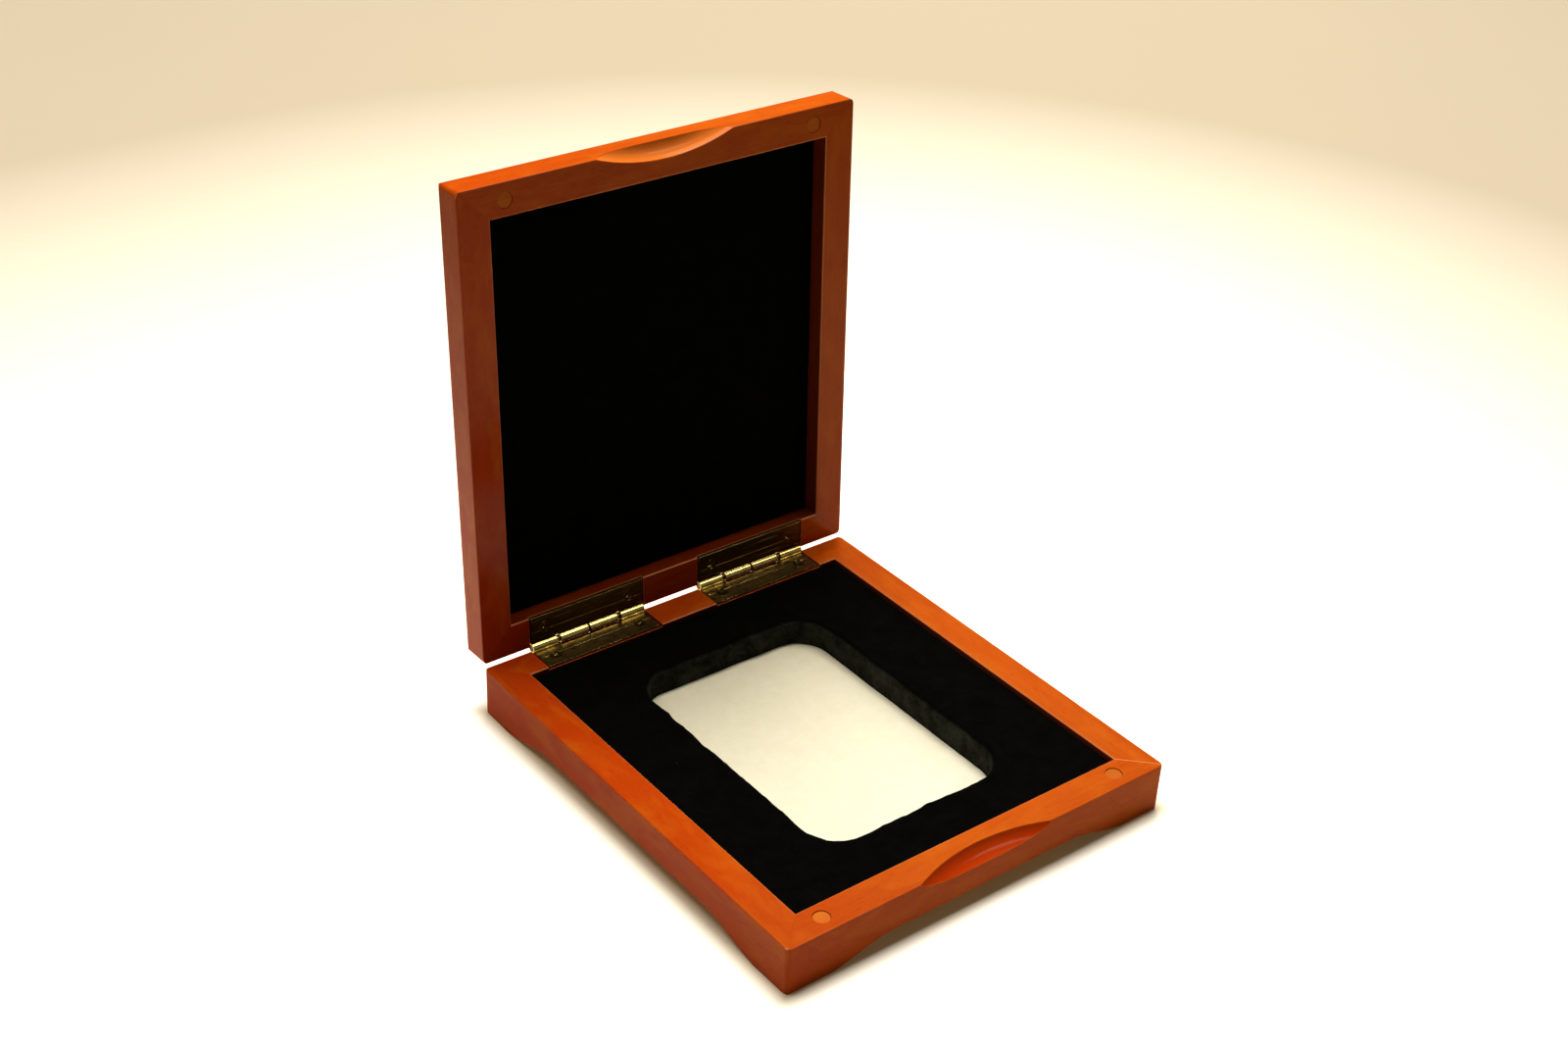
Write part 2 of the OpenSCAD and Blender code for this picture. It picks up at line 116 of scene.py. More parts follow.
def addNoise(tree, vector, scale, detail, rough, distortion=0.0):
    if isinstance(scale, tuple):
        vector, scale = addMapping(tree, vector, scale), 1.0
    return addNode(tree, "TexNoise", {
        "Vector": vector, "Scale": scale, "Detail": detail, "Roughness": rough,
        "Distortion": distortion}).outputs[0]


def addRange(tree, value, low, high, outLow=0.0, outHigh=1.0):
    node = addNode(tree, "MapRange", {
        "Value": value, "From Min": low, "From Max": high, "To Min": outLow, "To Max": outHigh})
    node.clamp = True
    return node.outputs[0]


def addMix(tree, factor, a, b, blend="MIX"):
    node = tree.nodes.new("ShaderNodeMix")
    node.data_type = "RGBA"
    node.blend_type = blend
    sockets = [s for s in node.inputs if s.enabled]
    for socket, value in zip(sockets, (factor, a, b)):
        feed(tree, value, socket)
    return [s for s in node.outputs if s.enabled][0]


# The noises of a look, and the ranges that it takes from them
def addNoises(tree, place, look):
    waves = {name: addNoise(tree, place, *values) for name, values in look["noises"].items()}
    ranges = {name: addRange(tree, waves[source], *values)
              for name, (source, *values) in look["ranges"].items()}
    return waves, ranges


def useGroup(material, group, values):
    node = material.node_tree.nodes.new("ShaderNodeGroup")
    node.node_tree = group
    for label, value in values.items():
        feed(material.node_tree, value, node.inputs[label])
    return node.outputs


def newMaterial(name, settings):
    material = bpy.data.materials.new(name)
    material.use_nodes = True
    shader = material.node_tree.nodes["Principled BSDF"]
    for label, value in settings.items():
        shader.inputs[label].default_value = value
    return material, shader


def addBump(material, shader, height, look):
    bump = addNode(material.node_tree, "Bump", {
        "Strength": look["bumpStrength"], "Distance": look["bumpDistance"] * mm, "Height": height})
    feed(material.node_tree, bump.outputs["Normal"], shader.inputs["Normal"])


def objectPlace(material):
    return material.node_tree.nodes.new("ShaderNodeTexCoord").outputs["Object"]


# The bevelled faces: edge wear, and on the wood also a painted highlight
def wornAndHighlightEdge(material):
    node = material.node_tree.nodes.new("ShaderNodeAttribute")
    node.attribute_name = "edgeWearAndHighlight"
    return node.outputs["Fac"]


# Effects that several materials share. A noise has a scale, or one for each axis, then detail,
# roughness and distortion. A range takes a noise between two values to 0 and 1, or to two others.

grainLook = {
    "noises": {
        "figure": ((7, 95, 95), 4, 0.6, 0.7),
        "streak": ((26, 900, 900), 5, 0.65),
        "pore": ((330, 3600, 3600), 2, 0.5),
        "patch": ((70, 160, 160), 3, 0.55, 0.5),
        "cloud": (38.0, 3, 0.5),
        "skin": (2600.0, 2, 0.5),               # the lacquer's surface
    },
    "ranges": {
        "figures": ("figure", 0.3, 0.7), "streaks": ("streak", 0.3, 0.7),
        "pores": ("pore", 0.60, 0.72),
        "clouds": ("cloud", 0.35, 0.75, 0.0, 0.22),     # uneven stain
        "patches": ("patch", 0.45, 0.72, 0.0, 0.5),     # thinner stain
        "roughness": ("cloud", 0.3, 0.7, 0.38, 0.48),
    },
    "seedShift": (0.37, 0.11, 0.23),
    "figureShare": 0.55, "streakShare": 0.45, "poreShare": 0.35, "poreRoughness": 0.08,
    "streakHeight": 0.30, "skinHeight": 0.25, "poreHeight": -0.45,
}


def makeGrainGroup():
    look = grainLook
    tree, start, end = newGroup(
        "woodGrain",
        {"Place": "Vector", "Seed": "Float", "Stain": "Color", "Deep": "Color", "Thin": "Color",
         "Figure": "Float"},
        {"Color": "Color", "Roughness": "Float", "Height": "Float"})
    shift = addNode(tree, "CombineXYZ", {
        axis: addMath(tree, "MULTIPLY", start["Seed"], share)
        for axis, share in zip("XYZ", look["seedShift"])})
    moved = addNode(tree, "VectorMath", {0: start["Place"], 1: shift.outputs[0]})
    waves, ranges = addNoises(tree, moved.outputs[0], look)
    figure = addShares(tree, (ranges["figures"], look["figureShare"]),
                       (ranges["streaks"], look["streakShare"]))
    colour = addMix(tree, addMath(tree, "MULTIPLY", figure, start["Figure"]), start["Stain"], start["Deep"])
    colour = addMix(tree, ranges["clouds"], colour, start["Deep"])
    colour = addMix(tree, ranges["patches"], colour, start["Thin"])
    inPores = addMath(tree, "MULTIPLY", ranges["pores"], look["poreShare"])
    feed(tree, addMix(tree, inPores, colour, start["Deep"], "MULTIPLY"), end["Color"])
    rough = addShares(tree, (ranges["roughness"], 1.0), (ranges["pores"], look["poreRoughness"]))
    feed(tree, rough, end["Roughness"])
    height = addShares(tree, (waves["streak"], look["streakHeight"]), (waves["skin"], look["skinHeight"]),
                       (ranges["pores"], look["poreHeight"]))
    feed(tree, height, end["Height"])
    return tree


# What a rail's masks are made of: a measure, the place where it counts as 0 and the one where it
# counts as 1, in mm
railFades = {
    "joint": ("offJoint", 0.14, 0.0),
    "right": ("toRight", 0.0, 1.0), "front": ("toBack", 0.0, -1.0), "back": ("toBack", 0.0, 1.0),
    "backLeft": ("toBackLeft", -30.0, 80.0),
    "innerEdge": ("offInside", 0.40, 0.15), "innerWall": ("offInside", 0.2, 0.1),
    "outerHalf": ("outFromInside", 5.3, 5.5), "outerFace": ("offMiddle", 63.3, 63.4),
    "atRim": ("offRim", 0.5, 0.2), "belowRim": ("offRim", 0.3, 0.6), "recessDeep": ("offRim", 5.8, 5.6),
    "behindFace": ("inFromFace", 0.05, 0.20), "cutDeep": ("offRim", 3.4, 3.2),
    "mortiseWide": ("offMiddle", 53.2, 53.0), "scoopWide": ("offMiddle", 22.7, 22.2),
    "scoopIn": ("inFromFace", 4.8, 4.7), "scoopTop": ("offRim", 0.05, 0.40),
    "hingeEnd": ("toBack", -30.0, 66.0), "hingeSide": ("toRight", 55.0, 10.0),
    "hingeRim": ("offRim", 0.4, 0.2),
}
# Each mask is a product of fades, or the larger one of two products
railMasks = {
    "Mitre": [["joint"]],                                       # the glued line where two rails meet
    "FrontRight": [["right", "front"]],
    # the inner edges are painted lighter, a painted highlight along them with some wear
    "InnerEdgeHighlight": [["innerEdge", "atRim"]],
    "ShadeSide": [["backLeft"]],                                    # painted shade: the stain is redder towards the back left, the side in shade
    "HollowShade": [["innerWall", "belowRim", "recessDeep"],         # painted shade on the recess walls and in the hinge mortises
               ["back", "mortiseWide", "behindFace", "cutDeep", "belowRim"]],
    "Scoop": [["front", "scoopWide", "scoopIn", "scoopTop", "behindFace", "cutDeep"]],
    # painted shade on the lid's wood near the hinges, more towards the left
    "NearHingeShade": [["hingeEnd", "hingeRim", "hingeSide"]],
    "Outer": [["outerFace"]],
    "Handled": [["recessDeep"], ["outerHalf"]],                 # where hands rub the edges; these edges are painted lighter, part wear and part painted highlight
}
shadeSideSlant = 0.6        # how far back counts, against how far left


def makeRailGroup():
    tree, start, end = newGroup(
        "railMarks", {"Place": "Vector", "Rim": "Float"}, dict.fromkeys(railMasks, "Float"))
    place = addSplit(tree, start["Place"])
    x = addMath(tree, "ABSOLUTE", place["X"])
    y = addMath(tree, "ABSOLUTE", place["Y"])
    skew = addMath(tree, "SUBTRACT", addMath(tree, "ADD", x, (case["halfY"] - case["halfX"]) * mm), y)
    out = addMath(tree, "MAXIMUM",
                  addMath(tree, "SUBTRACT", x, (case["halfX"] - case["rimWidth"]) * mm),
                  addMath(tree, "SUBTRACT", y, (case["halfY"] - case["rimWidth"]) * mm))
    slanted = addMath(tree, "MULTIPLY", place["Y"], shadeSideSlant)
    measures = {
        "toRight": place["X"], "toBack": place["Y"], "offMiddle": x,
        "toBackLeft": addMath(tree, "SUBTRACT", slanted, place["X"]),
        "offJoint": addMath(tree, "ABSOLUTE", skew),
        "outFromInside": out, "offInside": addMath(tree, "ABSOLUTE", out),
        "offRim": addMath(tree, "ABSOLUTE", addMath(tree, "SUBTRACT", place["Z"], start["Rim"])),
        "inFromFace": addMath(tree, "SUBTRACT", case["halfY"] * mm, y),
    }
    fades = {name: addRange(tree, measures[measure], zero * mm, one * mm)
             for name, (measure, zero, one) in railFades.items()}
    for mask, products in railMasks.items():
        made = [addProduct(tree, *[fades[name] for name in names]) for names in products]
        feed(tree, made[0] if len(made) == 1 else addMath(tree, "MAXIMUM", *made), end[mask])
    return tree


pileLook = {
    "noises": {
        "brush": (160.0, 4, 0.65, 0.6),         # pile pressed one way or the other
        "tuft": (1900.0, 3, 0.7),
        "hair": (7000.0, 2, 0.6),
    },
    "ranges": {"brushed": ("brush", 0.35, 0.7), "tufts": ("tuft", 0.35, 0.7)},
    "brushShare": 0.6, "tuftShare": 0.4, "tuftHeight": 0.6, "hairHeight": 0.4,
    "lint": (0.12, 0.10, 0.08, 1), "lintScale": 190.0, "lintSize": (0.045, 0.020), "lintRare": (0.93, 0.95),
}


def makePileGroup():
    look = pileLook
    tree, start, end = newGroup(
        "velvetPile",
        {"Place": "Vector", "Dark": "Color", "Light": "Color", "Lint": "Float"},
        {"Color": "Color", "Height": "Float"})
    waves, ranges = addNoises(tree, start["Place"], look)
    tone = addShares(tree, (ranges["brushed"], look["brushShare"]), (ranges["tufts"], look["tuftShare"]))
    cloth = addMix(tree, tone, start["Dark"], start["Light"])
    cell = addNode(tree, "TexVoronoi", {"Vector": start["Place"], "Scale": look["lintScale"]})
    chance = addNode(tree, "SeparateColor", {"Color": cell.outputs["Color"]})
    specks = addProduct(tree, addRange(tree, cell.outputs["Distance"], *look["lintSize"]),
                        addRange(tree, chance.outputs[0], *look["lintRare"]), start["Lint"])
    feed(tree, addMix(tree, specks, cloth, look["lint"]), end["Color"])
    height = addShares(tree, (waves["tuft"], look["tuftHeight"]), (waves["hair"], look["hairHeight"]))
    feed(tree, height, end["Height"])
    return tree


patinaLook = {
    "noises": {
        "stain": (330.0, 5, 0.6, 0.4),
        "brush": ((160, 5200, 5200), 3, 0.6),
        "grit": (5200.0, 2, 0.6),
        "scratch": ((45, 2600, 2600), 2, 0.5),
    },
    "ranges": {
        "stains": ("stain", 0.25, 0.75, -0.28, 0.28), "brushed": ("brush", 0.2, 0.8, -0.12, 0.12),
        "scratches": ("scratch", 0.66, 0.72, 0.0, 0.5), "gritty": ("grit", 0.3, 0.7, -0.03, 0.05),
    },
    "agedRoughness": 0.22, "brushHeight": 0.5, "gritHeight": 0.5,
    "bumpStrength": 0.25, "bumpDistance": 0.02,         # mm
}


def makePatinaGroup():
    look = patinaLook
    tree, start, end = newGroup(
        "agedMetal",
        {"Place": "Vector", "Bright": "Color", "Dull": "Color", "Age": "Float", "Smooth": "Float"},
        {"Color": "Color", "Roughness": "Float", "Height": "Float"})
    waves, ranges = addNoises(tree, start["Place"], look)
    aged = addMath(tree, "ADD", ranges["stains"], start["Age"], clamp=True)
    brushed = addMath(tree, "ADD", aged, ranges["brushed"], clamp=True)
    tarnish = addMath(tree, "SUBTRACT", brushed, ranges["scratches"], clamp=True)
    feed(tree, addMix(tree, tarnish, start["Bright"], start["Dull"]), end["Color"])
    rough = addShares(tree, (start["Smooth"], 1.0), (aged, look["agedRoughness"]), (ranges["gritty"], 1.0))
    feed(tree, rough, end["Roughness"])
    height = addShares(tree, (waves["brush"], look["brushHeight"]), (waves["grit"], look["gritHeight"]))
    feed(tree, height, end["Height"])
    return tree


grainGroup = makeGrainGroup()
railGroup = makeRailGroup()
pileGroup = makePileGroup()
patinaGroup = makePatinaGroup()
print("shared effects made")


# Pieces

softening = {
    "weld": 0.002, "flat": 0.4, "steps": 2, "sharp": 28,      # mm, degrees, count, degrees
    "upright": 0.2, "diagonal": 0.03,       # how far the normal of a mitre's face may be out
}


def finishPiece(mesh, name, body, material, nodeName):
    piece = bpy.data.objects.new(name, mesh)
    scene.collection.objects.link(piece)
    mesh.materials.clear()
    mesh.materials.append(material)
    for face in mesh.polygons:
        face.use_smooth = True
        face.material_index = 0
    weighted = piece.modifiers.new("evenNormals", "WEIGHTED_NORMAL")
    weighted.keep_sharp = True
    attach(piece, body)
    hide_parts(nodeName)
    return piece


# Whether a face of a rail lies in a mitre joint, seen in the case's own place
def inMitre(face, inverse):
    n = inverse.to_3x3() @ face.normal
    c = inverse @ face.calc_center_median()
    across = abs(n.z) < softening["upright"] and abs(abs(n.x) - abs(n.y)) < softening["diagonal"]
    return across and n.x * n.y * c.x * c.y < 0


# A copy of a CAD node with its sharp edges softened, apart from those of mitre joints
def softened(nodeName, pieceName, body, material, edge, steps=softening["steps"],
             sharp=softening["sharp"], mitred=False):
    mesh = nodes[nodeName].data.copy()
    mesh.name = pieceName
    bm = bmesh.new()
    bm.from_mesh(mesh)
    bmesh.ops.remove_doubles(bm, verts=bm.verts, dist=softening["weld"] * mm)
    bmesh.ops.dissolve_limit(bm, angle_limit=math.radians(softening["flat"]), verts=bm.verts,
                             edges=bm.edges)
    edges = [e for e in bm.edges if e.is_manifold and e.calc_face_angle(0) > math.radians(sharp)]
    if mitred:
        inverse = places[body].inverted()
        for e in edges:
            if any(inMitre(f, inverse) for f in e.link_faces):
                e.smooth = False
        edges = [e for e in edges if e.smooth]
    wearAndHighlight = bm.faces.layers.float.new("edgeWearAndHighlight")
    rounded = bmesh.ops.bevel(bm, geom=edges, offset=edge * mm, offset_type="OFFSET", segments=steps,
                              profile=0.5, affect="EDGES", clamp_overlap=True, material=-1)
    for face in rounded["faces"]:
        face[wearAndHighlight] = 1.0
    bm.to_mesh(mesh)
    bm.free()
    return finishPiece(mesh, pieceName, body, material, nodeName)


# Wood

wood = {
    # the shade-side stain is painted shade: the wood is redder where the case lies in shade
    "stain": (0.55, 0.092, 0.0040, 1), "shadeSideStain": (0.56, 0.048, 0.0025, 1),
    "deep": (0.36, 0.040, 0.0020, 1), "thin": (0.58, 0.125, 0.0060, 1),
    "figure": 0.6,
    "glueLine": (0.20, 0.030, 0.004, 1), "glueShare": 0.4,
    "paleLine": (0.95, 0.52, 0.26, 1), "paleShare": 1.0,      # the open joint at the base's front right
    "rubbedAndHighlight": (0.85, 0.34, 0.14, 1), "rubbedAndHighlightShare": 0.5,      # thin stain on the edges, and a painted highlight along them
    "hollow": (0.09, 0.007, 0.001, 1), "hollowShare": 0.75,   # painted shade on the recess walls and in the mortises
    # painted shade in the base's finger scoop and painted light in the lid's
    "scoop": {"base": (0.42, 0.024, 0.001, 1), "lid": (0.80, 0.20, 0.028, 1)}, "scoopShare": 0.8,
    "scoopDry": 0.5,                                          # lacquer missing in the finger scoops
    # painted shade: the lid's wood darkens towards the hinges
    "nearHingeShade": (0.16, 0.009, 0.001, 1), "nearHingeShadeShare": {"base": 0.0, "lid": 0.55},
    "lacquer": 0.24, "outerLacquer": {"base": 0.10, "lid": 0.35}, "edgeLacquer": 0.42,
    "lacquerRoughness": 0.15,
    "edge": 0.25, "edgeSteps": 3,                             # mm, softening of the sharp edges
    "bumpStrength": 0.35, "bumpDistance": 0.06,               # mm
}


def woodMaterial(name, body, alongX, seed, joint):
    material, shader = newMaterial(name, {
        "Specular IOR Level": 0.0, "Coat Roughness": wood["lacquerRoughness"]})
    tree = material.node_tree
    inverse = places[body].inverted()
    casePlace = addMapping(tree, objectPlace(material), rotation=tuple(inverse.to_euler()),
                           location=tuple(inverse.translation))
    along = casePlace if alongX else addMapping(tree, casePlace, rotation=(0, 0, math.pi / 2))
    marks = useGroup(material, railGroup, {"Place": casePlace, "Rim": case["rim"][body] * mm})
    grain = useGroup(material, grainGroup, {
        "Place": along, "Seed": seed, "Deep": wood["deep"], "Thin": wood["thin"], "Figure": wood["figure"],
        "Stain": addMix(tree, marks["ShadeSide"], wood["stain"], wood["shadeSideStain"])})
    openPart = addMath(tree, "MULTIPLY", marks["Mitre"], marks["FrontRight"])
    wearAndHighlight = addMath(tree, "MAXIMUM", marks["InnerEdgeHighlight"],
                   addMath(tree, "MULTIPLY", wornAndHighlightEdge(material), marks["Handled"]))
    colour = grain["Color"]
    # the hollow, scoop, near-hinge and rubbed marks paint shade and light into the colour
    for mask, tint, share in (
            (marks["Mitre"], wood["glueLine"], 0.0 if joint == "none" else wood["glueShare"]),
            (marks["HollowShade"], wood["hollow"], wood["hollowShare"]),
            (marks["Scoop"], wood["scoop"][body], wood["scoopShare"]),
            (marks["NearHingeShade"], wood["nearHingeShade"], wood["nearHingeShadeShare"][body]),
            (openPart, wood["paleLine"], wood["paleShare"] if joint == "open" else 0.0),
            (wearAndHighlight, wood["rubbedAndHighlight"], wood["rubbedAndHighlightShare"])):
        if share:
            colour = addMix(tree, addMath(tree, "MULTIPLY", mask, share), colour, tint)
    feed(tree, colour, shader.inputs["Base Color"])
    coat = addRange(tree, wearAndHighlight, 0.0, 1.0, wood["lacquer"], wood["edgeLacquer"])
    coat = addMath(tree, "ADD", coat, addMath(tree, "MULTIPLY", marks["Outer"], wood["outerLacquer"][body]))
    kept = addMath(tree, "SUBTRACT", 1.0, addMath(tree, "MULTIPLY", marks["Scoop"], wood["scoopDry"]))
    feed(tree, addMath(tree, "MULTIPLY", coat, kept), shader.inputs["Coat Weight"])
    feed(tree, grain["Roughness"], shader.inputs["Roughness"])
    addBump(material, shader, grain["Height"], wood)
    return material


rails = [
    # node, piece, body, grain along X, seed, joint
    ("base_rail_front", "baseFrontRail", "base", True, 1.3, "open"),
    ("base_rail_back", "baseBackRail", "base", True, 4.1, "glued"),
    ("base_rail_left", "baseLeftRail", "base", False, 7.7, "glued"),
    ("base_rail_right", "baseRightRail", "base", False, 9.2, "open"),
    ("lid_rail_front", "lidFrontRail", "lid", True, 12.4, "glued"),
    ("lid_rail_back", "lidBackRail", "lid", True, 15.8, "glued"),
    ("lid_rail_left", "lidLeftRail", "lid", False, 18.5, "glued"),
    ("lid_rail_right", "lidRightRail", "lid", False, 21.9, "glued"),
    ("lid_panel", "lidPanel", "lid", True, 27.1, "none"),
]
for nodeName, pieceName, body, alongX, seed, joint in rails:
    material = woodMaterial(pieceName + "Wood", body, alongX, seed, joint)
    softened(nodeName, pieceName, body, material, wood["edge"], wood["edgeSteps"],
             mitred=True)
print("wood done")


# Cloth helpers

# Unevenness made of waves, each with a size in mm, a seed and a height in mm
def unevenness(x, y, z, waves):
    return sum(height * noise.noise(Vector((x / size + seed, y / size - seed, z / size)))
               for size, seed, height in waves)


# A height at an edge, fading away within a width
def edgeLift(away, height, width):
    return height * max(0.0, 1 - away / width) ** 2


def clothGrid(cloth):
    bm = bmesh.new()
    bmesh.ops.create_grid(bm, x_segments=cloth["cellsX"], y_segments=cloth["cellsY"], size=1)
    bmesh.ops.scale(bm, vec=(cloth["halfX"], cloth["halfY"], 1), verts=bm.verts)
    return bm


def toMesh(bm, name):
    mesh = bpy.data.meshes.new(name)
    bm.to_mesh(mesh)
    bm.free()
    return mesh


def thicken(piece, thick):
    solid = piece.modifiers.new("thickness", "SOLIDIFY")
    solid.thickness = thick * mm
    solid.offset = -1
    piece.modifiers.move(len(piece.modifiers) - 1, 0)


# Velvet

velvet = {
    "dark": (0.0006, 0.0006, 0.0007, 1), "light": (0.0023, 0.0023, 0.0020, 1),
    "wallDark": (0.0005, 0.0005, 0.0003, 1), "wallSheen": (0.042, 0.044, 0.034, 1),   # painted sheen of the pile seen sideways
    "lint": 0.35,
    "sheen": 0.004, "sheenRoughness": 0.45, "sheenTint": (0.75, 0.75, 0.68, 1),
    "bumpStrength": 0.5, "bumpDistance": 0.18,            # mm
}


# Where a wall is given, as two heights in mm, the pile below them is painted lighter, a painted sheen of
# pile seen sideways
def velvetMaterial(name, wall=None):
    material, shader = newMaterial(name, {
        "Roughness": 1.0, "Specular IOR Level": 0.02, "Sheen Weight": velvet["sheen"],
        "Sheen Roughness": velvet["sheenRoughness"], "Sheen Tint": velvet["sheenTint"]})
    tree = material.node_tree
    place = objectPlace(material)
    pile = useGroup(material, pileGroup, {
        "Place": place, "Dark": velvet["dark"], "Light": velvet["light"], "Lint": velvet["lint"]})
    colour = pile["Color"]
    if wall:
        wallSheenPile = useGroup(material, pileGroup, {
            "Place": place, "Dark": velvet["wallDark"], "Light": velvet["wallSheen"], "Lint": 0.0})
        onWall = addRange(tree, addSplit(tree, place)["Z"], wall[0] * mm, wall[1] * mm)
        colour = addMix(tree, onWall, colour, wallSheenPile["Color"])
    feed(tree, colour, shader.inputs["Base Color"])
    addBump(material, shader, pile["Height"], velvet)
    return material


insert = {
    "halfX": 53.75, "halfY": 59.75,                       # the insert's outline
    "pocketX": 30.7, "pocketY": 43.7, "pocketR": 10.0,    # half sizes and corner radius of the pocket
    "cornerSteps": 20, "sideCuts": 46,
    "walls": (3.8, 4.9, 6.5, 8.2, 9.7),                   # heights of the rings on the pocket's wall
    "lip": 1.6, "lipSteps": 8, "top": 12.5,
    # rings on the top, as shares of the way out to the outline
    "shares": (0.03, 0.08, 0.14, 0.21, 0.29, 0.37, 0.46, 0.55, 0.64, 0.73, 0.81, 0.88, 0.93, 0.965,
               0.985, 1.0),
    "ripples": ((6.0, 3.1, 0.5), (2.4, 5.7, 0.3)),        # unevenness of the lip
    "rippleFrom": 4.3, "rippleRise": 3.0,                 # it grows from this height, within this rise
    "puffs": ((17.0, 8.4, 0.10), (7.0, 1.7, 0.05)),       # unevenness of the top
    "rise": 0.75, "riseWidth": 7.0,                       # cloth pushed up along the rails
    "tuck": 0.3, "tuckWidth": 0.6,                        # drop of the very edge
    "paintedSheenBelow": (12.1, 11.3),                             # below here the pile is painted lighter, a painted sheen
    "thick": 0.7,
}
flatX = insert["pocketX"] - insert["pocketR"]             # half lengths of the pocket's straight sides
flatY = insert["pocketY"] - insert["pocketR"]


# Where the ring around the pocket ends on the insert's outline
def outlinePoint(x, y):
    sideX, sideY = math.copysign(1, x), math.copysign(1, y)
    overX, overY = abs(x) - flatX, abs(y) - flatY
    if overX <= 1e-6:
        return x, sideY * insert["halfY"]
    if overY <= 1e-6:
        return sideX * insert["halfX"], y
    if overY <= overX:
        return sideX * insert["halfX"], sideY * (flatY + (insert["halfY"] - flatY) * overY / overX)
    return sideX * (flatX + (insert["halfX"] - flatX) * overX / overY), sideY * insert["halfY"]


def outward(x, y):
    d = Vector((math.copysign(max(abs(x) - flatX, 0), x), math.copysign(max(abs(y) - flatY, 0), y)))
    return d.normalized()


# Places a ring of vertices, which came from the contour of the pocket
def setRing(ring, out, z, share):
    for v, (x, y) in ring.items():
        n = outward(x, y)
        px, py = x + n.x * out, y + n.y * out
        lift = 0.0
        if share:
            ox, oy = outlinePoint(x, y)
            px, py = px + (ox - px) * share, py + (oy - py) * share
            away = min(insert["halfX"] - abs(px), insert["halfY"] - abs(py))
            lift = (unevenness(px, py, 0, insert["puffs"])
                    + edgeLift(away, insert["rise"], insert["riseWidth"])
                    - edgeLift(away, insert["tuck"], insert["tuckWidth"]))
        wave = unevenness(px, py, z, insert["ripples"]) * (1 - share) ** 3
        wave *= min(1.0, max(0.0, (z - insert["rippleFrom"]) / insert["rippleRise"]))
        v.co = (px + n.x * wave, py + n.y * wave, z + lift)


def makeBaseVelvet():
    bm = bmesh.new()
    bmesh.ops.create_grid(bm, x_segments=1, y_segments=1, size=1)
    bmesh.ops.scale(bm, vec=(insert["pocketX"], insert["pocketY"], 1), verts=bm.verts)
    bmesh.ops.bevel(bm, geom=bm.verts[:], offset=insert["pocketR"], offset_type="OFFSET",
                    segments=insert["cornerSteps"], profile=0.5, affect="VERTICES", clamp_overlap=False,
                    material=-1)
    sides = [e for e in bm.edges if e.calc_length() > insert["pocketR"]]
    bmesh.ops.subdivide_edges(bm, edges=sides, cuts=insert["sideCuts"])
    bmesh.ops.delete(bm, geom=bm.faces[:], context="FACES_ONLY")
    # rings: distance out from the pocket's wall, height, share of the way to the insert's outline
    lip = insert["lip"]
    rings = [(0.0, z, 0) for z in insert["walls"]]
    for i in range(insert["lipSteps"] + 1):
        a = math.radians(90 * i / insert["lipSteps"])
        rings.append((lip * (1 - math.cos(a)), insert["top"] - lip + lip * math.sin(a), 0))
    rings += [(lip, insert["top"], share) for share in insert["shares"]]
    loop = {v: (v.co.x, v.co.y) for v in bm.verts}
    edges = bm.edges[:]
    setRing(loop, *rings[0])
    for ring in rings[1:]:
        grown = bmesh.ops.extrude_edge_only(bm, edges=edges)["geom"]
        edges = [g for g in grown if isinstance(g, bmesh.types.BMEdge)]
        fresh = [g for g in grown if isinstance(g, bmesh.types.BMVert)]
        loop = {v: loop[e.other_vert(v)] for v in fresh for e in v.link_edges if e.other_vert(v) in loop}
        setRing(loop, *ring)
    bmesh.ops.transform(bm, matrix=toBase @ Matrix.Scale(mm, 4), verts=bm.verts)
    bmesh.ops.recalc_face_normals(bm, faces=bm.faces[:])
    if sum(f.normal.z * f.calc_area() for f in bm.faces) < 0:
        bmesh.ops.reverse_faces(bm, faces=bm.faces[:])
    return toMesh(bm, "baseVelvet")


baseVelvet = finishPiece(makeBaseVelvet(), "baseVelvet", "base",
                         velvetMaterial("baseVelvetCloth", insert["paintedSheenBelow"]), "base_velvet")
thicken(baseVelvet, insert["thick"])

lidCloth = {
    "halfX": 53.85, "halfY": 59.85, "cellsX": 72, "cellsY": 80,
    "face": 19.664, "puffs": ((21.0, 5.5, 0.12),),        # height with the lid shut, and its unevenness
    "tuck": 0.45, "tuckWidth": 1.6,
    "thick": 0.6,
}


def makeLidVelvet():
    bm = clothGrid(lidCloth)
    for v in bm.verts:
        x, y = v.co.x, v.co.y
        away = min(lidCloth["halfX"] - abs(x), lidCloth["halfY"] - abs(y))
        v.co.z = (lidCloth["face"] + unevenness(x, y, 0, lidCloth["puffs"])
                  + edgeLift(away, lidCloth["tuck"], lidCloth["tuckWidth"]))
    bmesh.ops.reverse_faces(bm, faces=bm.faces[:])        # it faces the base when the lid is shut
    bmesh.ops.transform(bm, matrix=toLid @ Matrix.Scale(mm, 4), verts=bm.verts)
    return toMesh(bm, "lidVelvet")


lidVelvet = finishPiece(makeLidVelvet(), "lidVelvet", "lid", velvetMaterial("lidVelvetCloth"),
                        "lid_velvet")
thicken(lidVelvet, lidCloth["thick"])
print("velvet done")


# Pocket floor

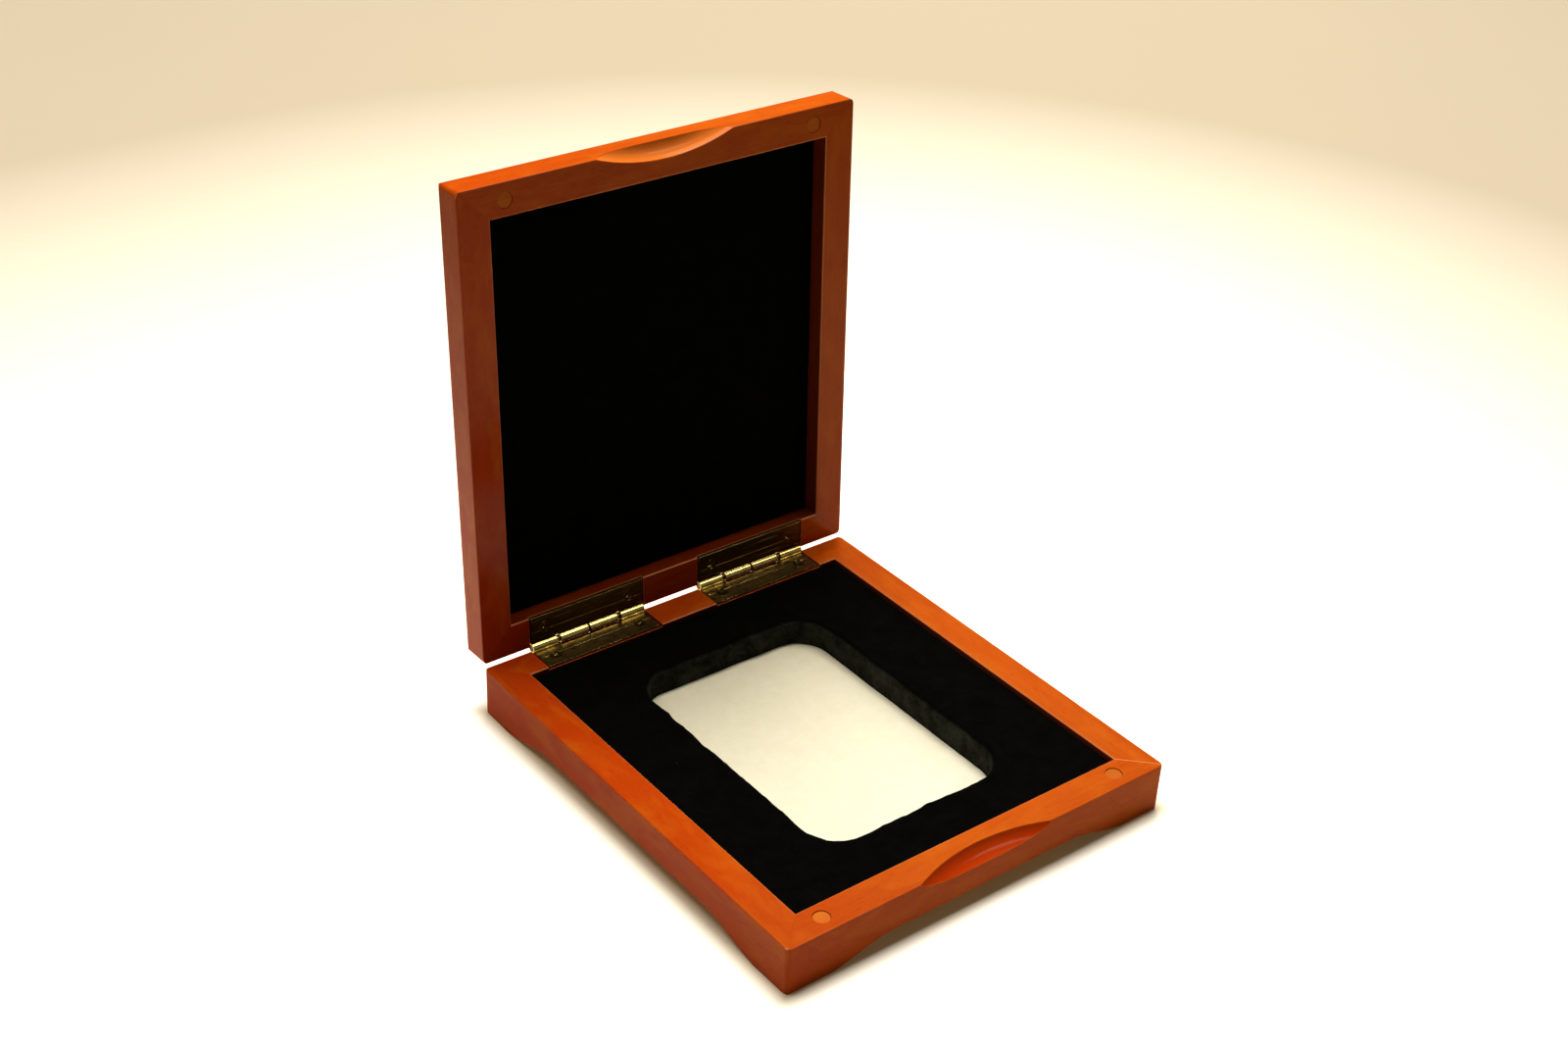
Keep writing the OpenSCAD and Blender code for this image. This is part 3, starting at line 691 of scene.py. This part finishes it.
lining = {
    "halfX": 30.6, "halfY": 43.6, "corner": 9.9, "cellsX": 64, "cellsY": 90,
    "face": 4.18, "waves": ((13.0, 2.2, 0.14), (5.0, 6.0, 0.056)),
    "thick": 0.35,
    "light": (0.86, 0.84, 0.78, 1), "shade": (0.69, 0.64, 0.53, 1),
    "noises": {"mottle": (240.0, 5, 0.6), "fibre": ((900, 4200, 2000), 3, 0.6)},
    "ranges": {"mottled": ("mottle", 0.3, 0.7, 0.0, 0.25), "fibrous": ("fibre", 0.3, 0.7, 0.0, 0.15)},
    "shadeFrom": -40.0, "shadeTo": 34.0, "shadeShare": 0.6,       # painted shade: the cloth is darker towards the hinges, in the lid's shadow
    "mottleHeight": 1.0, "fibreHeight": 0.6,
    "bumpStrength": 0.5, "bumpDistance": 0.12,                    # mm
}


def makeLining():
    bm = clothGrid(lining)
    r = lining["corner"]
    for v in bm.verts:
        u = (abs(v.co.x) - (lining["halfX"] - r)) / r
        w = (abs(v.co.y) - (lining["halfY"] - r)) / r
        if u > 0 and w > 0:                               # the square corner becomes a round one
            v.co.x = math.copysign(lining["halfX"] - r + r * u * math.sqrt(1 - w * w / 2), v.co.x)
            v.co.y = math.copysign(lining["halfY"] - r + r * w * math.sqrt(1 - u * u / 2), v.co.y)
        v.co.z = lining["face"] + unevenness(v.co.x, v.co.y, 0, lining["waves"])
    bmesh.ops.transform(bm, matrix=toBase @ Matrix.Scale(mm, 4), verts=bm.verts)
    return toMesh(bm, "pocketLining")


def liningMaterial():
    material, shader = newMaterial("liningCloth", {"Roughness": 0.9, "Specular IOR Level": 0.15})
    tree = material.node_tree
    place = objectPlace(material)
    waves, ranges = addNoises(tree, place, lining)
    # painted shade, darker towards the hinges
    dull = addRange(tree, addSplit(tree, place)["Y"], lining["shadeFrom"] * mm, lining["shadeTo"] * mm,
                    0.0, lining["shadeShare"])
    tone = addMath(tree, "ADD", dull, addMath(tree, "ADD", ranges["mottled"], ranges["fibrous"]))
    feed(tree, addMix(tree, tone, lining["light"], lining["shade"]), shader.inputs["Base Color"])
    height = addShares(tree, (waves["mottle"], lining["mottleHeight"]),
                       (waves["fibre"], lining["fibreHeight"]))
    addBump(material, shader, height, lining)
    return material


pocketLining = finishPiece(makeLining(), "pocketLining", "base", liningMaterial(), "pocket_lining")
thicken(pocketLining, lining["thick"])
print("pocket floor done")


# Metal

brass = {
    "bright": (0.74, 0.58, 0.22, 1), "dull": (0.055, 0.024, 0.004, 1),
    "metallic": 1.0, "gloss": 0.5, "smooth": 0.12,
    # the lid leaf is aged darker than the base leaf as painted shade
    "baseLeafAge": 0.74, "lidLeafShadeAge": 1.35, "screwAge": 1.1, "pinAge": 1.0,
    "barrelAge": 0.22, "barrelRadius": 1.52, "barrelFade": 0.1,     # the knuckles are rubbed brighter
    # painted shade in the groove between the middle knuckles
    "seamAt": 28.95, "seamWidth": 0.30, "seamFade": 0.12, "seamShadeAge": 1.3,
    # how much of the ageing is rubbed off the edges, and from how far away from the pin
    "edgeShine": 0.5, "screwShine": 1.0, "baseShineFrom": 2.2, "lidShineFrom": 8.8, "shineFade": 0.3,
    "edge": 0.15, "screwEdge": 0.12, "screwSharp": 40,
}
magnet = {
    "bright": (0.56, 0.135, 0.010, 1), "dull": (0.42, 0.085, 0.005, 1),
    "metallic": 0.25, "gloss": 0.1, "smooth": 0.34, "age": 0.5, "shine": 0.5, "edge": 0.15,
}


# A hinge leaf has a barrel too, and its edges shine only from some distance away from the pin
def metalMaterial(name, finish, age, shine, shineFrom=None):
    material, shader = newMaterial(name, {
        "Metallic": finish["metallic"], "Specular IOR Level": finish["gloss"]})
    tree = material.node_tree
    place = objectPlace(material)
    rubbedAndHighlight = addMath(tree, "MULTIPLY", wornAndHighlightEdge(material), shine)
    if shineFrom:
        split = addSplit(tree, place)
        across = addMath(tree, "SUBTRACT", split["Y"], pivot.y)
        up = addMath(tree, "SUBTRACT", split["Z"], pivot.z)
        away = addMath(tree, "SQRT", addMath(tree, "ADD", addMath(tree, "POWER", across, 2.0),
                                             addMath(tree, "POWER", up, 2.0)))
        onLeaf = addRange(tree, away, finish["barrelRadius"] * mm,
                          (finish["barrelRadius"] + finish["barrelFade"]) * mm)
        onBarrel = addMath(tree, "SUBTRACT", 1.0, onLeaf)
        # painted shade in the seam between the middle knuckles
        offSeam = addMath(tree, "SUBTRACT", addMath(tree, "ABSOLUTE", split["X"]), finish["seamAt"] * mm)
        barrelAge = addRange(tree, addMath(tree, "ABSOLUTE", offSeam), finish["seamWidth"] * mm,
                             (finish["seamWidth"] + finish["seamFade"]) * mm, finish["seamShadeAge"],
                             finish["barrelAge"])
        age = addShares(tree, (barrelAge, onBarrel), (onLeaf, age))
        farEnough = addRange(tree, away, (shineFrom - finish["shineFade"]) * mm, shineFrom * mm)
        rubbedAndHighlight = addMath(tree, "MULTIPLY", rubbedAndHighlight, farEnough)
    age = addMath(tree, "MULTIPLY", addMath(tree, "SUBTRACT", 1.0, rubbedAndHighlight), age)
    patina = useGroup(material, patinaGroup, {
        "Place": place, "Bright": finish["bright"], "Dull": finish["dull"], "Age": age,
        "Smooth": finish["smooth"]})
    feed(tree, patina["Color"], shader.inputs["Base Color"])
    feed(tree, patina["Roughness"], shader.inputs["Roughness"])
    addBump(material, shader, patina["Height"], patinaLook)
    return material


baseLeafBrass = metalMaterial("baseLeafBrass", brass, brass["baseLeafAge"], brass["edgeShine"],
                              brass["baseShineFrom"])
lidLeafBrass = metalMaterial("lidLeafBrass", brass, brass["lidLeafShadeAge"], brass["edgeShine"],
                             brass["lidShineFrom"])
pinBrass = metalMaterial("pinBrass", brass, brass["pinAge"], brass["edgeShine"])
screwBrass = metalMaterial("screwBrass", brass, brass["screwAge"], brass["screwShine"])
magnetMetal = metalMaterial("magnetMetal", magnet, magnet["age"], magnet["shine"])
for side in ("left", "right"):
    name = side.capitalize()
    for nodeEnd, pieceStart, body, material in (
            ("base_leaf", "baseLeaf", "base", baseLeafBrass),
            ("lid_leaf", "lidLeaf", "lid", lidLeafBrass),
            ("pin", "hingePin", "base", pinBrass)):
        softened(f"hinge_{side}_{nodeEnd}", pieceStart + name, body, material,
                 brass["edge"])
    for body in ("base", "lid"):
        softened(f"{body}_magnet_{side}", f"{body}Magnet{name}", body, magnetMetal,
                 magnet["edge"])
for body in ("base", "lid"):
    softened(f"{body}_leaf_screws", f"{body}LeafScrews", body, screwBrass,
             brass["screwEdge"], sharp=brass["screwSharp"])
print("metal done")


# Boards that stay as the CAD made them

boards = {
    "fibreboard": ((0.42, 0.29, 0.17, 1), (0.26, 0.17, 0.09, 1)),
    "cardboard": ((0.72, 0.68, 0.58, 1), (0.58, 0.54, 0.45, 1)),
    "noises": {"flake": (900.0, 5, 0.7), "cloud": (60.0, 3, 0.5)},
    "ranges": {"flakes": ("flake", 0.3, 0.7, 0.0, 0.7), "clouds": ("cloud", 0.3, 0.7, 0.0, 0.3)},
    "bumpStrength": 0.4, "bumpDistance": 0.1,             # mm
    "nodes": {"fibreboard": ("bottom_board", "insert_core"), "cardboard": ("lid_pad_board",)},
}


def boardMaterial(name):
    material, shader = newMaterial(name, {"Roughness": 0.85, "Specular IOR Level": 0.2})
    tree = material.node_tree
    waves, ranges = addNoises(tree, objectPlace(material), boards)
    tone = addMath(tree, "ADD", ranges["flakes"], ranges["clouds"])
    feed(tree, addMix(tree, tone, *boards[name]), shader.inputs["Base Color"])
    addBump(material, shader, waves["flake"], boards)
    return material


for name, nodeNames in boards["nodes"].items():
    material = boardMaterial(name)
    for nodeName in nodeNames:
        data = nodes[nodeName].data
        data.materials.clear()
        data.materials.append(material)
print("boards done")


# Floor, lights and camera

studio = {
    "floor": (0.80, 0.75, 0.67, 1), "farFloor": (0.14, 0.12, 0.09, 1),
    "floorCloud": (9.0, 3, 0.5), "cloudShare": 0.06, "floorSize": 20.0, "floorCells": 8,
    # the glow under the base is a painted shadow tint, dim and warm
    "shadowTintGlow": (0.070, 0.045, 0.016, 1), "floorGlow": (0.80, 0.75, 0.66, 1),
    "farGlow": (0.62, 0.50, 0.35, 1),
    "glowFrom": 0.0003, "glowTo": 0.005, "farFrom": 0.10, "farTo": 0.45,      # metres out from the base
    "backdrop": (0.64, 0.52, 0.37, 1), "roomLight": (1.0, 0.93, 0.82, 1), "roomStrength": 0.03,
    "lightAim": (0.0, 0.0, 0.04),
    "lightColour": (1.0, 0.94, 0.74),
    # direction and height in degrees, distance and size in metres, power in watts, what it shows in
    "lights": {
        "keyLight": (45, 71, 1.10, 0.66, 12.5, "all"),
        "leftLight": (135, 69, 1.10, 0.66, 5.5, "all"),
        "lowLight": (45, 30, 1.10, 0.66, 5.8, "surfaces"),
        "glintLight": (-35, 54, 1.10, 0.30, 2.2, "reflections"),
        "frontLight": (-58, 14, 1.10, 0.80, 0.35, "reflections"),
    },
    "cameraAt": (-0.314507, -0.369960, 0.371927),       # about the middle of the base
    "cameraTurn": (58.55645, -2.455466, -37.482413),
    "lens": 50.538, "sensor": 36.0, "clipStart": 0.01,
}


# The floor glows to the camera only. Close to the base the glow fades out, a painted contact shadow over
# the lamps' own shade, and under the base a dim warm glow paints the shadow's tint
def floorMaterial():
    material, shader = newMaterial("paleFloor", {
        "Roughness": 0.85, "Specular IOR Level": 0.1, "Emission Strength": 1.0})
    tree = material.node_tree
    place = objectPlace(material)
    split = addSplit(tree, addMapping(tree, place, location=tuple(-toBase.translation)))
    out = []
    for axis, half in (("X", case["halfX"]), ("Y", case["halfY"])):
        beyond = addMath(tree, "SUBTRACT", addMath(tree, "ABSOLUTE", split[axis]), half * mm)
        out.append(addMath(tree, "POWER", addMath(tree, "MAXIMUM", beyond, 0.0), 2.0))
    away = addMath(tree, "SQRT", addMath(tree, "ADD", *out))
    far = addRange(tree, away, studio["farFrom"], studio["farTo"])
    black = (0, 0, 0, 1)
    clouds = addMath(tree, "MULTIPLY", addNoise(tree, place, *studio["floorCloud"]), studio["cloudShare"])
    cloth = addMix(tree, clouds, addMix(tree, far, studio["floor"], studio["farFloor"]), black)
    feed(tree, cloth, shader.inputs["Base Color"])
    glow = addMix(tree, addRange(tree, away, studio["glowFrom"], studio["glowTo"]), studio["shadowTintGlow"],
                  addMix(tree, far, studio["floorGlow"], studio["farGlow"]))
    seen = tree.nodes.new("ShaderNodeLightPath").outputs["Is Camera Ray"]
    feed(tree, addMix(tree, seen, black, glow), shader.inputs["Emission Color"])
    return material


def addFloor():
    bm = bmesh.new()
    bmesh.ops.create_grid(bm, x_segments=studio["floorCells"], y_segments=studio["floorCells"],
                          size=studio["floorSize"])
    mesh = toMesh(bm, "floor")
    mesh.materials.append(floorMaterial())
    floor = bpy.data.objects.new("floor", mesh)
    scene.collection.objects.link(floor)


def addLight(name, direction, height, distance, size, power, shows):
    light = bpy.data.lights.new(name, "AREA")
    light.shape = "DISK"
    light.size = size
    light.energy = power
    light.color = studio["lightColour"]
    lamp = bpy.data.objects.new(name, light)
    flat = math.cos(math.radians(height))
    way = Vector((math.cos(math.radians(direction)) * flat, math.sin(math.radians(direction)) * flat,
                  math.sin(math.radians(height))))
    lamp.location = Vector(studio["lightAim"]) + way * distance
    lamp.rotation_euler = (-way).to_track_quat("-Z", "Y").to_euler()
    lamp.visible_diffuse = shows != "reflections"
    lamp.visible_glossy = shows != "surfaces"
    scene.collection.objects.link(lamp)


# The backdrop shows as the far floor does, while the room that lights the case is dim
def addWorld():
    world = bpy.data.worlds.new("studio")
    world.use_nodes = True
    tree = world.node_tree
    room = tree.nodes["Background"]
    room.inputs["Color"].default_value = studio["roomLight"]
    room.inputs["Strength"].default_value = studio["roomStrength"]
    backdrop = addNode(tree, "Background", {"Color": studio["backdrop"]})
    seen = tree.nodes.new("ShaderNodeLightPath").outputs["Is Camera Ray"]
    choice = addNode(tree, "MixShader", {0: seen, 1: room.outputs[0], 2: backdrop.outputs[0]})
    feed(tree, choice.outputs[0], tree.nodes["World Output"].inputs["Surface"])
    scene.world = world


addFloor()
for name, values in studio["lights"].items():
    addLight(name, *values)
addWorld()
scene.view_settings.view_transform = "Standard"

camera = bpy.data.cameras.new("camera")
camera.lens = studio["lens"]
camera.sensor_width = studio["sensor"]
camera.clip_start = studio["clipStart"]
cameraObject = bpy.data.objects.new("camera", camera)
cameraObject.location = toBase @ Vector(studio["cameraAt"])
cameraObject.rotation_euler = [math.radians(a) for a in studio["cameraTurn"]]
scene.collection.objects.link(cameraObject)
scene.camera = cameraObject
print("studio done")

bpy.context.view_layer.update()
